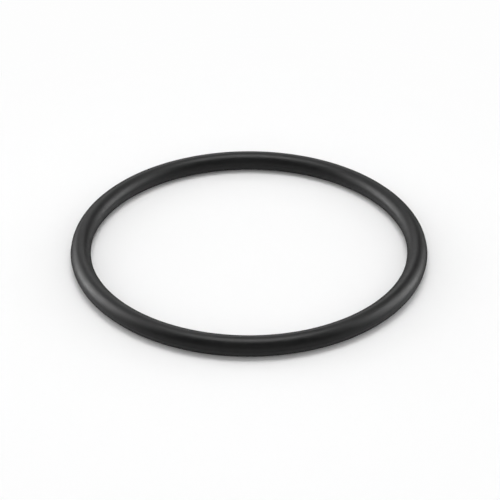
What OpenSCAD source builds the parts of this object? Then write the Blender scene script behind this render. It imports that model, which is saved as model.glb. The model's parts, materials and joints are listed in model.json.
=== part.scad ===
// A moulded rubber O-ring, lying flat and unstretched.
// Its two driving sizes are the ones that a seal is ordered by: inside diameter and section.
// The values are those of the inch series, size code 340: 3.350 inch by 0.210 inch.
// Origin: on the ring's axis, halfway up the section. +Z runs along the axis.

/* [Ring] */
// Inside diameter of the free ring, over the round of the section
inside_d = 85.09; // [20:0.01:300]
// Diameter of the round section
section_d = 5.33; // [1.78:0.01:6.99]

/* [Parting line] */
// Height that the trimmed witness of the mould's parting line stands out of the section
witness_h = 0.05; // [0.02:0.01:0.08]
// Width of the witness across its crest, along the ring's axis
witness_w = 0.1; // [0.05:0.01:0.2]

/* [Hidden] */
$fn = 180;
section_r = section_d / 2;
// Radius of the circle that the middle of the section runs round
ring_r = inside_d / 2 + section_r;
// Depth that the witness bar's bevels are carried down inside the round, so that the two fuse
root_depth = witness_h;

// The round that does the sealing. It stands in the XY plane until it is turned round the axis.
module round_section() {
    circle(r = section_r);
}

// What the two halves of the mould leave where they meet, halfway up the section.
// The film of rubber between them is trimmed off, and a low ridge is left on the inside and the
// outside. One bar across the section makes both: its ends are the two crests, bevelled at 45
// degrees until they are inside the round.
module witness_bar() {
    bevel = witness_h + root_depth;
    crest_x = section_r + witness_h;
    crest_y = witness_w / 2;
    root_x = crest_x - bevel;
    root_y = crest_y + bevel;
    polygon([
        [crest_x, -crest_y], [crest_x, crest_y],
        [root_x, root_y], [-root_x, root_y],
        [-crest_x, crest_y], [-crest_x, -crest_y],
        [-root_x, -root_y], [root_x, -root_y],
    ]);
}

// One piece of rubber: the section turned once round the ring's axis.
module o_ring() {
    color([0.08, 0.08, 0.08])
        rotate_extrude()
            translate([ring_r, 0]) {
                round_section();
                witness_bar();
            }
}

o_ring();
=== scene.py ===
# %% [markdown]
# A rubber O-ring
#
# This lesson dresses one moulded rubber ring, lying flat on a white sheet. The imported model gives
# the solid at its real size, in metres, and everything here is made around it: a finely divided
# skin, the finish of moulded rubber, a floor, soft lamps and the camera.

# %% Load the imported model
import json
import math

import bpy
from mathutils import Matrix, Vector


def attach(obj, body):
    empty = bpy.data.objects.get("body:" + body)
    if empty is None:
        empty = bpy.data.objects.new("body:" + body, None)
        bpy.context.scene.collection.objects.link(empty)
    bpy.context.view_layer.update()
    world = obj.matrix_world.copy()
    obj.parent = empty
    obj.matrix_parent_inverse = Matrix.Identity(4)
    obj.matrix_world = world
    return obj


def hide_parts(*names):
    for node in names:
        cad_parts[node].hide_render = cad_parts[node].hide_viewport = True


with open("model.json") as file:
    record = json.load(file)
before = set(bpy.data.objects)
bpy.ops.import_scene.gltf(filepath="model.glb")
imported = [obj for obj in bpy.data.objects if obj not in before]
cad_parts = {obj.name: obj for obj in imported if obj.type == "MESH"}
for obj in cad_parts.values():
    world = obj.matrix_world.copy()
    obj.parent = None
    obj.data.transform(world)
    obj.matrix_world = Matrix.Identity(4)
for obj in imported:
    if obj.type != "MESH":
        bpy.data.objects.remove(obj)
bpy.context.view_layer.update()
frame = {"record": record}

# %% [markdown]
# The sizes
#
# Two sizes make an O-ring: the radius of the circle that its section runs round, and the radius of
# the section. The record states where the ring seals, so both are read from there, together with
# the low ridge that the mould leaves along its parting line. Nothing is measured twice, and a ring
# of another size would dress itself.

# %% Read the ring's sizes
MM = 0.001
mounts = {mount["name"]: mount for mount in frame["record"]["mounts"]}
inner_crest_r = mounts["inner_sealing_line"]["dims"]["r_mm"] * MM
outer_crest_r = mounts["outer_sealing_line"]["dims"]["r_mm"] * MM
crest_w = mounts["outer_sealing_line"]["dims"]["length_mm"] * MM
section_r = mounts["upper_sealing_line"]["pos_m"][2]
ring_r = (inner_crest_r + outer_crest_r) / 2
witness_h = outer_crest_r - ring_r - section_r
floor_z = -section_r
print(f"ring radius {ring_r / MM:.2f} mm, section radius {section_r / MM:.3f} mm")
print(f"ridge {witness_h / MM:.3f} mm high and {crest_w / MM:.2f} mm wide")

# %% [markdown]
# The section
#
# A torus primitive would give the round, but not the ridge where the two halves of the mould met.
# So the section is drawn first, as a closed line of points: over the top, across the inner ridge,
# back underneath and across the outer ridge. Each ridge has a flat crest, where the film of rubber
# was trimmed off, and flanks at 45 degrees that run down into the round.


# %% Draw the section
def ridge_root():
    """Where a 45 degree flank meets the round, measured from the middle of the section."""
    # The flank is the line x + y = reach, and the round is x * x + y * y = section_r * section_r.
    reach = section_r + witness_h + crest_w / 2
    y = (reach - math.sqrt(2 * section_r ** 2 - reach ** 2)) / 2
    return reach - y, y


def section_points(arc_steps, crest_h):
    """The closed outline of the section: (distance out from the ring's middle line, height)."""
    root_x, root_y = ridge_root()
    start = math.atan2(root_y, root_x)
    crest_x = section_r + crest_h
    upper = []
    for step in range(arc_steps + 1):
        angle = start + (math.pi - 2 * start) * step / arc_steps
        upper.append((section_r * math.cos(angle), section_r * math.sin(angle)))
    lower = [(-x, -y) for x, y in upper]
    inner_crest = [(-crest_x, crest_w / 2), (-crest_x, -crest_w / 2)]
    outer_crest = [(crest_x, -crest_w / 2), (crest_x, crest_w / 2)]
    return upper + inner_crest + lower + outer_crest


ARC_STEPS = 34
even_section = section_points(ARC_STEPS, witness_h)
print(f"{len(even_section)} points in the section")

# %% [markdown]
# The ring
#
# The outline is copied to many stations round the axis, and each is joined to the next by a band of
# four-sided faces. A Screw modifier would do the same for a perfect ring. Here the stations are
# placed in code, because the trimming tool never cuts the film to quite one height: the crest of the
# ridge rises and falls by a hundredth of a millimetre as it goes round, from a few slow waves.

# %% Sweep the section round the axis
STATIONS = 640
TRIM_WAVES = (
    # waves in one turn, phase
    (3, 0.4), (7, 1.9), (16, 4.1), (29, 2.6), (53, 0.7),
)
TRIM_DEPTH = 0.3


def crest_height(angle):
    """How high the ridge stands at this angle. TRIM_DEPTH is the most that is cut off, as a share."""
    swell = sum(math.sin(count * angle + phase) for count, phase in TRIM_WAVES) / len(TRIM_WAVES)
    return witness_h * (1 - TRIM_DEPTH * (0.5 + 0.5 * swell))


def ring_points():
    """A copy of the section at each station, with the height of its crest there."""
    points = []
    for station in range(STATIONS):
        angle = 2 * math.pi * station / STATIONS
        for out, height in section_points(ARC_STEPS, crest_height(angle)):
            radius = ring_r + out
            points.append((radius * math.cos(angle), radius * math.sin(angle), height))
    return points


def ring_faces(per_station):
    """Station by station, and in each from the outer ridge over the top and back underneath."""
    faces = []
    for station in range(STATIONS):
        here = station * per_station
        there = (station + 1) % STATIONS * per_station
        for corner in range(per_station):
            after = (corner + 1) % per_station
            faces.append((here + corner, there + corner, there + after, here + after))
    return faces


RIDGE_EDGE = math.radians(30)
ring_mesh = bpy.data.meshes.new("ring_skin")
ring_mesh.from_pydata(ring_points(), [], ring_faces(len(even_section)))
ring_mesh.shade_smooth()
ring_mesh.set_sharp_from_angle(angle=RIDGE_EDGE)
ring = bpy.data.objects.new("ring_skin", ring_mesh)
bpy.context.scene.collection.objects.link(ring)
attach(ring, "root")
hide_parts("o_ring")
print(f"{ring.name}: {len(ring_mesh.polygons)} faces")

# %% [markdown]
# Unwrap the ring
#
# A UV map says which part of an image belongs to each face. The skin of a ring unrolls into one
# long, thin strip, which would waste nearly all of a square image. Cut into four equal lengths, laid
# one above the other, it fills the square, and a millimetre is nearly the same size along it and
# across it. The long cuts follow the outer ridge, where a seam doesn't show.

# %% Lay the skin out in strips
STRIPS = 4
STRIP_GAP = 0.015
MAP_NAME = "OFBake"


def share_round_section():
    """How far each point lies round the section, from 0 to 1, with 1 for the return to the start."""
    closed = even_section + even_section[:1]
    steps = [math.dist(a, b) for a, b in zip(closed, closed[1:])]
    reached = [0.0]
    for step in steps:
        reached.append(reached[-1] + step)
    return [way / reached[-1] for way in reached]


def unwrap(mesh):
    """Lay each face in its strip, with the ring's length to the right and its section upwards."""
    share = share_round_section()
    per_station = len(even_section)
    per_strip = STATIONS // STRIPS
    uv = mesh.uv_layers.new(name=MAP_NAME).data
    for number, face in enumerate(mesh.polygons):
        station, corner = divmod(number, per_station)
        strip, along = divmod(station, per_strip)
        ends = [STRIP_GAP + (1 - 2 * STRIP_GAP) * end / per_strip for end in (along, along + 1)]
        across = (share[corner], share[corner + 1])
        sides = [(strip + STRIP_GAP + (1 - 2 * STRIP_GAP) * side) / STRIPS for side in across]
        at = ((ends[0], sides[0]), (ends[1], sides[0]), (ends[1], sides[1]), (ends[0], sides[1]))
        for loop, place in zip(face.loop_indices, at):
            uv[loop].uv = place


unwrap(ring_mesh)
print(f"{STRIPS} strips of {2 * math.pi * ring_r / STRIPS / MM:.1f} mm")

# %% [markdown]
# Helpers for the materials
#
# A material is a small network of nodes. These helpers keep each network readable: one adds a node
# and sets its values by name, one runs a wire between two sockets, and one starts a new material.


# %% Add a node and wire it
def add_node(tree, kind, label, settings=None, values=None):
    """A node of this kind, with its own settings and with the values of its input sockets."""
    node = tree.nodes.new(kind)
    node.label = label
    node.name = label
    for key, value in (settings or {}).items():
        setattr(node, key, value)
    for key, value in (values or {}).items():
        node.inputs[key].default_value = value
    return node


def wire(tree, source, source_socket, target, target_socket):
    """Carry what comes out of one node into a socket of the next."""
    tree.links.new(source.outputs[source_socket], target.inputs[target_socket])


def new_material(name):
    """A material with no nodes in it yet."""
    material = bpy.data.materials.new(name)
    material.use_nodes = True
    material.node_tree.nodes.clear()
    return material


# %% [markdown]
# The turned lines
#
# The mould was turned on a lathe, and its fine lines, which run round the ring, are printed in the
# rubber. A pattern like that changes quickly across the skin and slowly along it. So the noise is
# given four coordinates: the distance from the axis and the height, which place a point across the
# lines, and the ring's x and y, shrunk, so that each line fades out after a few millimetres.

# %% Print the turned lines
LINE_SIZE = 0.12 * MM
LINE_STRETCH = 60
LINE_DEPTH = 0.01 * MM


def turned_lines(tree, place):
    """The bump of the fine lines that run round the ring."""
    split = add_node(tree, "ShaderNodeSeparateXYZ", "split the place")
    wire(tree, place, "Object", split, "Vector")
    flat = add_node(tree, "ShaderNodeCombineXYZ", "place in plan")
    wire(tree, split, "X", flat, "X")
    wire(tree, split, "Y", flat, "Y")
    radius = add_node(tree, "ShaderNodeVectorMath", "distance from the axis", {"operation": "LENGTH"})
    wire(tree, flat, "Vector", radius, 0)
    across = add_node(tree, "ShaderNodeCombineXYZ", "place across the lines")
    wire(tree, radius, "Value", across, "X")
    wire(tree, split, "Z", across, "Y")
    lines = add_node(
        tree, "ShaderNodeTexNoise", "turned lines", {"noise_dimensions": "4D"},
        {"Scale": 1 / LINE_SIZE, "Detail": 2, "Roughness": 0.5},
    )
    for axis, target, socket in (("X", across, "Z"), ("Y", lines, "W")):
        slow = add_node(
            tree, "ShaderNodeMath", "stretch along " + axis, {"operation": "DIVIDE"}, {1: LINE_STRETCH}
        )
        wire(tree, split, axis, slow, 0)
        wire(tree, slow, "Value", target, socket)
    wire(tree, across, "Vector", lines, "Vector")
    bump = add_node(
        tree, "ShaderNodeBump", "depth of the lines", values={"Strength": 1, "Distance": LINE_DEPTH}
    )
    wire(tree, lines, "Fac", bump, "Height")
    return bump


print(f"turned lines {LINE_SIZE / MM:.2f} mm apart and {LINE_DEPTH / MM:.2f} mm deep")

# %% [markdown]
# The grain
#
# Under the lines a moulded skin has a shallow grain, from the blasted mould and from the rubber
# shrinking as it cools. It can't be made out from a step away, but it breaks up the highlights and
# makes them soft. Noise drives a second Bump node, which takes the turned lines in by its Normal
# socket, so that both show.

# %% Grain the skin
GRAIN_SIZE = 0.5 * MM
GRAIN_DEPTH = 0.02 * MM


def skin_grain(tree, place, lines):
    """The bump of the grain, on top of the turned lines."""
    grain = add_node(
        tree, "ShaderNodeTexNoise", "grain of the skin",
        values={"Scale": 1 / GRAIN_SIZE, "Detail": 2, "Roughness": 0.55},
    )
    wire(tree, place, "Object", grain, "Vector")
    bump = add_node(
        tree, "ShaderNodeBump", "depth of the grain", values={"Strength": 1, "Distance": GRAIN_DEPTH}
    )
    wire(tree, grain, "Fac", bump, "Height")
    wire(tree, lines, "Normal", bump, "Normal")
    return bump


print(f"grain {GRAIN_SIZE / MM:.1f} mm across and {GRAIN_DEPTH / MM:.2f} mm deep")

# %% [markdown]
# The gloss
#
# The satin isn't the same all over. Soft clouds a millimetre across move it a little: their noise
# seldom leaves the middle of its range, so that part alone is spread over the satin's two values.
# The crest of the ridge was cut, not moulded, and a cut face is duller. Towards the outline, where
# the skin is seen at a glancing angle, the grain hides the bright flats behind it, so the gloss
# fades there, and a Layer Weight node knows how far the skin is turned away. The cut and the glance
# each add to the roughness.

# %% Vary the gloss
CLOUD_LOW = 0.3
CLOUD_HIGH = 0.7
SATIN_LOW = 0.36
SATIN_HIGH = 0.46
CUT_DULL = 0.2
GLANCE_DULL = 0.6
GLANCE_START = 0.45
GLANCE_END = 0.9


def cut_crest(tree, place):
    """Extra roughness on the crest of the ridge, which is the only skin at this height."""
    split = add_node(tree, "ShaderNodeSeparateXYZ", "height on the ring")
    wire(tree, place, "Object", split, "Vector")
    height = add_node(tree, "ShaderNodeMath", "above or below", {"operation": "ABSOLUTE"})
    wire(tree, split, "Z", height, 0)
    crest = add_node(
        tree, "ShaderNodeMapRange", "cut crest",
        values={"From Min": crest_w / 2, "From Max": crest_w, "To Min": CUT_DULL, "To Max": 0},
    )
    wire(tree, height, "Value", crest, "Value")
    return crest


def dull_outline(tree):
    """Extra roughness where the skin is seen at a glancing angle."""
    turned = add_node(tree, "ShaderNodeLayerWeight", "turned away", values={"Blend": 0.5})
    glance = add_node(
        tree, "ShaderNodeMapRange", "glancing", {"interpolation_type": "SMOOTHSTEP"},
        {"From Min": GLANCE_START, "From Max": GLANCE_END, "To Min": 0, "To Max": GLANCE_DULL},
    )
    wire(tree, turned, "Facing", glance, "Value")
    return glance


def vary_gloss(tree, place, clouds):
    """The roughness of the skin, from its clouds, its cut crest and the angle it is seen at."""
    satin = add_node(
        tree, "ShaderNodeMapRange", "satin",
        values={"From Min": CLOUD_LOW, "From Max": CLOUD_HIGH, "To Min": SATIN_LOW, "To Max": SATIN_HIGH},
    )
    wire(tree, clouds, "Fac", satin, "Value")
    with_cut = add_node(tree, "ShaderNodeMath", "duller where cut", {"operation": "ADD"})
    wire(tree, satin, "Result", with_cut, 0)
    wire(tree, cut_crest(tree, place), "Result", with_cut, 1)
    finish = add_node(
        tree, "ShaderNodeMath", "duller at a glance", {"operation": "ADD", "use_clamp": True}
    )
    wire(tree, with_cut, "Value", finish, 0)
    wire(tree, dull_outline(tree), "Result", finish, 1)
    return finish


print(f"roughness {SATIN_LOW} to {SATIN_HIGH}, and {CUT_DULL} more where the crest is cut")

# %% [markdown]
# Moulded black rubber
#
# The rubber is filled with carbon black, so almost no light comes back out of it: what the eye reads
# is the gloss, and that is low and broad. A Principled BSDF with a nearly black base colour, a
# weak specular level and the roughness above gives it. The clouds that move the gloss also move the
# black, because the filler is never mixed quite evenly.

# %% Mix the rubber
BLACK_DEEP = (0.0026, 0.0026, 0.0027, 1)
BLACK_PALE = (0.0052, 0.0052, 0.0053, 1)
GLOSS = 0.25
CLOUD_SIZE = 1.4 * MM


def rubber_material():
    """Black rubber, with its shade, its gloss and its two bumps."""
    material = new_material("moulded_rubber")
    tree = material.node_tree
    place = add_node(tree, "ShaderNodeTexCoord", "place on the ring")
    clouds = add_node(
        tree, "ShaderNodeTexNoise", "clouds in the skin",
        values={"Scale": 1 / CLOUD_SIZE, "Detail": 3, "Roughness": 0.55},
    )
    wire(tree, place, "Object", clouds, "Vector")
    shade = add_node(tree, "ShaderNodeValToRGB", "shade of black")
    shade.color_ramp.elements[0].color = BLACK_DEEP
    shade.color_ramp.elements[1].color = BLACK_PALE
    wire(tree, clouds, "Fac", shade, "Fac")
    skin = add_node(
        tree, "ShaderNodeBsdfPrincipled", "rubber", values={"IOR": 1.5, "Specular IOR Level": GLOSS}
    )
    wire(tree, shade, "Color", skin, "Base Color")
    wire(tree, vary_gloss(tree, place, clouds), "Value", skin, "Roughness")
    wire(tree, skin_grain(tree, place, turned_lines(tree, place)), "Normal", skin, "Normal")
    surface = add_node(tree, "ShaderNodeOutputMaterial", "surface")
    wire(tree, skin, "BSDF", surface, "Surface")
    return material


ring_mesh.materials.append(rubber_material())
print(f"{len(ring_mesh.materials[0].node_tree.nodes)} nodes in the rubber")

# %% [markdown]
# The floor
#
# The ring lies on a seamless white sheet. Close to the ring the sheet is an ordinary white surface,
# so it takes the soft shadow that shows the ring touching it. Further out it fades into plain white
# at a strength of almost 1, which is what a studio sheet looks like, and which needs no more light
# on the rubber. Only rays that show the background take part in the fade: the sheet throws back
# the same light on the ring wherever it is.

# %% Lay the floor
PAPER = (0.96, 0.96, 0.96, 1)
PLAIN_WHITE = 0.985
FLOOR_HALF = 3.0
FADE_START = 0.068
FADE_END = 0.13


def background_rays(tree):
    """1 for the rays that show the background: from the camera, by reflection or through glass."""
    rays = add_node(tree, "ShaderNodeLightPath", "kind of ray")
    first = add_node(tree, "ShaderNodeMath", "camera or glossy", {"operation": "MAXIMUM"})
    wire(tree, rays, "Is Camera Ray", first, 0)
    wire(tree, rays, "Is Glossy Ray", first, 1)
    seen = add_node(tree, "ShaderNodeMath", "or transmitted", {"operation": "MAXIMUM"})
    wire(tree, first, "Value", seen, 0)
    wire(tree, rays, "Is Transmission Ray", seen, 1)
    return seen


def paper_material():
    """White paper close to the ring, and plain white further out."""
    material = new_material("white_paper")
    tree = material.node_tree
    paper = add_node(tree, "ShaderNodeBsdfDiffuse", "paper", values={"Color": PAPER})
    glow = add_node(tree, "ShaderNodeEmission", "plain white", values={"Strength": PLAIN_WHITE})
    place = add_node(tree, "ShaderNodeTexCoord", "place on the floor")
    distance = add_node(tree, "ShaderNodeVectorMath", "distance from the ring", {"operation": "LENGTH"})
    wire(tree, place, "Object", distance, 0)
    fade = add_node(
        tree, "ShaderNodeMapRange", "fade", {"interpolation_type": "SMOOTHSTEP"},
        {"From Min": FADE_START, "From Max": FADE_END},
    )
    wire(tree, distance, "Value", fade, "Value")
    share = add_node(tree, "ShaderNodeMath", "share of white", {"operation": "MULTIPLY"})
    wire(tree, fade, "Result", share, 0)
    wire(tree, background_rays(tree), "Value", share, 1)
    mixed = add_node(tree, "ShaderNodeMixShader", "paper into white")
    wire(tree, share, "Value", mixed, "Fac")
    wire(tree, paper, "BSDF", mixed, 1)
    wire(tree, glow, "Emission", mixed, 2)
    surface = add_node(tree, "ShaderNodeOutputMaterial", "surface")
    wire(tree, mixed, "Shader", surface, "Surface")
    return material


floor_mesh = bpy.data.meshes.new("floor")
corners = [(FLOOR_HALF * x, FLOOR_HALF * y, floor_z) for x, y in ((-1, -1), (1, -1), (1, 1), (-1, 1))]
floor_mesh.from_pydata(corners, [], [(0, 1, 2, 3)])
floor_mesh.materials.append(paper_material())
floor = bpy.data.objects.new("floor", floor_mesh)
bpy.context.scene.collection.objects.link(floor)
print(f"floor at {floor_z / MM:.3f} mm, plain white from {FADE_END / MM:.0f} mm")

# %% [markdown]
# The lamps
#
# Black rubber shows its lamps, so they are placed by where their reflections fall. One hangs over
# the ring and draws the line along the top of the tube, those behind it draw the back edge, and
# those on the left and right model the sides. They are tall, so that a highlight is a broad band
# and not a thin line. The one in front is the dimmest, which keeps the front of the tube black.
#
# White paper and black rubber need different amounts of light, and in a studio the paper gets its
# own. So each place holds a card that is seen in reflections only, and some hold a lamp as well. A
# lamp lights matt surfaces and is left out of reflections: with the room's fill, the lamps add up
# to a plain level, at which a colour looks as it was written. The strongest lamp is the one above,
# so the shadow on the paper stays close to the ring. A dim card beside a bright one makes its
# highlight fade out slowly.

# %% Hang the lamps
SOFTBOXES = (
    # name, azimuth and elevation in degrees, width and height in metres,
    # brightness of the lamp, where 0 is no lamp, and brightness of the card
    ("overhead", 0, 87, 0.50, 0.34, 4.6, 6.9),
    ("overhead_wide", 0, 88, 1.10, 0.32, 0, 0.8),
    ("above_back", 0, 66, 0.50, 0.44, 0, 1.3),
    ("back", -4, 20, 0.40, 0.36, 0, 2.2),
    ("left_low", -70, 16, 0.34, 0.44, 2.9, 9.5),
    ("left_high", -70, 40, 0.34, 0.22, 0, 7.1),
    ("left_wide", -95, 24, 0.34, 0.66, 0, 2.1),
    ("left_back", -45, 24, 0.34, 0.66, 0, 2.1),
    ("right_low", 70, 16, 0.34, 0.44, 2.15, 7.1),
    ("right_high", 70, 40, 0.34, 0.22, 0, 5.4),
    ("right_wide", 95, 24, 0.34, 0.66, 0, 3.0),
    ("right_back", 45, 24, 0.34, 0.66, 0, 0.6),
    ("front", 180, 30, 0.60, 0.44, 1.0, 0.55),
)
REACH = 0.8
CARD_GAP = 0.02


def hang_lamp(name, azimuth, elevation, distance, width, height, brightness):
    """A rectangular lamp that faces the ring. Azimuth is 0 behind the ring and 90 on its right.
    Brightness is how bright its face is, where 1 is the brightness of white paper."""
    light = bpy.data.lights.new(name, "AREA")
    light.shape = "RECTANGLE"
    light.size = width
    light.size_y = height
    light.energy = brightness * math.pi * width * height
    turn = math.radians(azimuth)
    lift = math.radians(elevation)
    towards = Vector((math.cos(lift) * math.sin(turn), math.cos(lift) * math.cos(turn), math.sin(lift)))
    lamp = bpy.data.objects.new(name, light)
    lamp.location = towards * distance
    lamp.rotation_euler = towards.to_track_quat("Z", "Y").to_euler()
    lamp.visible_camera = False
    bpy.context.scene.collection.objects.link(lamp)
    return lamp


for name, azimuth, elevation, width, height, light, shine in SOFTBOXES:
    card = hang_lamp(name + "_card", azimuth, elevation, REACH, width, height, shine)
    card.visible_diffuse = False
    if light:
        lamp = hang_lamp(name + "_lamp", azimuth, elevation, REACH + CARD_GAP, width, height, light)
        lamp.visible_glossy = False
print(f"{len(SOFTBOXES)} places for lamps and cards")

# %% [markdown]
# The room
#
# The world gives an even fill to matt surfaces, as the white walls of a light tent do, and is dark
# in reflections, so that the cards alone draw the highlights. The white background shows to the
# camera, and in reflections only as high as a sheet of paper behind the ring would stand.

# %% Light the room
FILL = 0.555
WHITE = (1, 1, 1, 1)
PAPER_TOP = math.sin(math.radians(10))


def room_world():
    """An even fill for matt surfaces, and white for the rays that show the background."""
    world = bpy.data.worlds.new("studio")
    world.use_nodes = True
    tree = world.node_tree
    tree.nodes.clear()
    rays = add_node(tree, "ShaderNodeLightPath", "reflection or not")
    level = add_node(tree, "ShaderNodeMapRange", "fill for matt", values={"To Min": FILL, "To Max": 0})
    wire(tree, rays, "Is Glossy Ray", level, "Value")
    fill = add_node(tree, "ShaderNodeBackground", "even fill", values={"Color": WHITE})
    wire(tree, level, "Result", fill, "Strength")
    white = add_node(
        tree, "ShaderNodeBackground", "white background", values={"Color": WHITE, "Strength": PLAIN_WHITE}
    )
    place = add_node(tree, "ShaderNodeTexCoord", "direction")
    split = add_node(tree, "ShaderNodeSeparateXYZ", "height")
    wire(tree, place, "Generated", split, "Vector")
    low = add_node(
        tree, "ShaderNodeMapRange", "behind the ring", {"interpolation_type": "SMOOTHSTEP"},
        {"From Min": PAPER_TOP, "From Max": 0},
    )
    wire(tree, split, "Z", low, "Value")
    share = add_node(tree, "ShaderNodeMath", "low and seen", {"operation": "MULTIPLY"})
    wire(tree, low, "Result", share, 0)
    wire(tree, background_rays(tree), "Value", share, 1)
    either = add_node(tree, "ShaderNodeMath", "or seen directly", {"operation": "MAXIMUM"})
    wire(tree, share, "Value", either, 0)
    wire(tree, rays, "Is Camera Ray", either, 1)
    mixed = add_node(tree, "ShaderNodeMixShader", "fill or background")
    wire(tree, either, "Value", mixed, "Fac")
    wire(tree, fill, "Background", mixed, 1)
    wire(tree, white, "Background", mixed, 2)
    out = add_node(tree, "ShaderNodeOutputWorld", "out")
    wire(tree, mixed, "Shader", out, "Surface")
    return world


bpy.context.scene.world = room_world()
print(f"fill {FILL} of white")

# %% [markdown]
# The camera
#
# The ring was photographed through a long lens from about a third of the way up, so the circle reads
# as an ellipse, and the front of the tube looks only a little thicker than the back.

# %% Place the camera
VIEW_ELEVATION = math.radians(33.485)
VIEW_DISTANCE = 0.4793
VIEW_AIM = Vector((0.00026, -0.0020, 0))
LENS_MM = 128.5
SENSOR_MM = 36
NEAREST = 0.01
FURTHEST = 20

to_camera = Vector((0, -math.cos(VIEW_ELEVATION), math.sin(VIEW_ELEVATION)))
camera = bpy.data.objects.new("camera", bpy.data.cameras.new("camera"))
camera.data.lens = LENS_MM
camera.data.sensor_width = SENSOR_MM
camera.data.clip_start = NEAREST
camera.data.clip_end = FURTHEST
camera.location = VIEW_AIM + to_camera * VIEW_DISTANCE
camera.rotation_euler = to_camera.to_track_quat("Z", "Y").to_euler()
bpy.context.scene.collection.objects.link(camera)
bpy.context.scene.camera = camera
bpy.context.scene.view_settings.view_transform = "Standard"
print(f"camera {VIEW_DISTANCE / MM:.0f} mm away, {LENS_MM} mm lens")
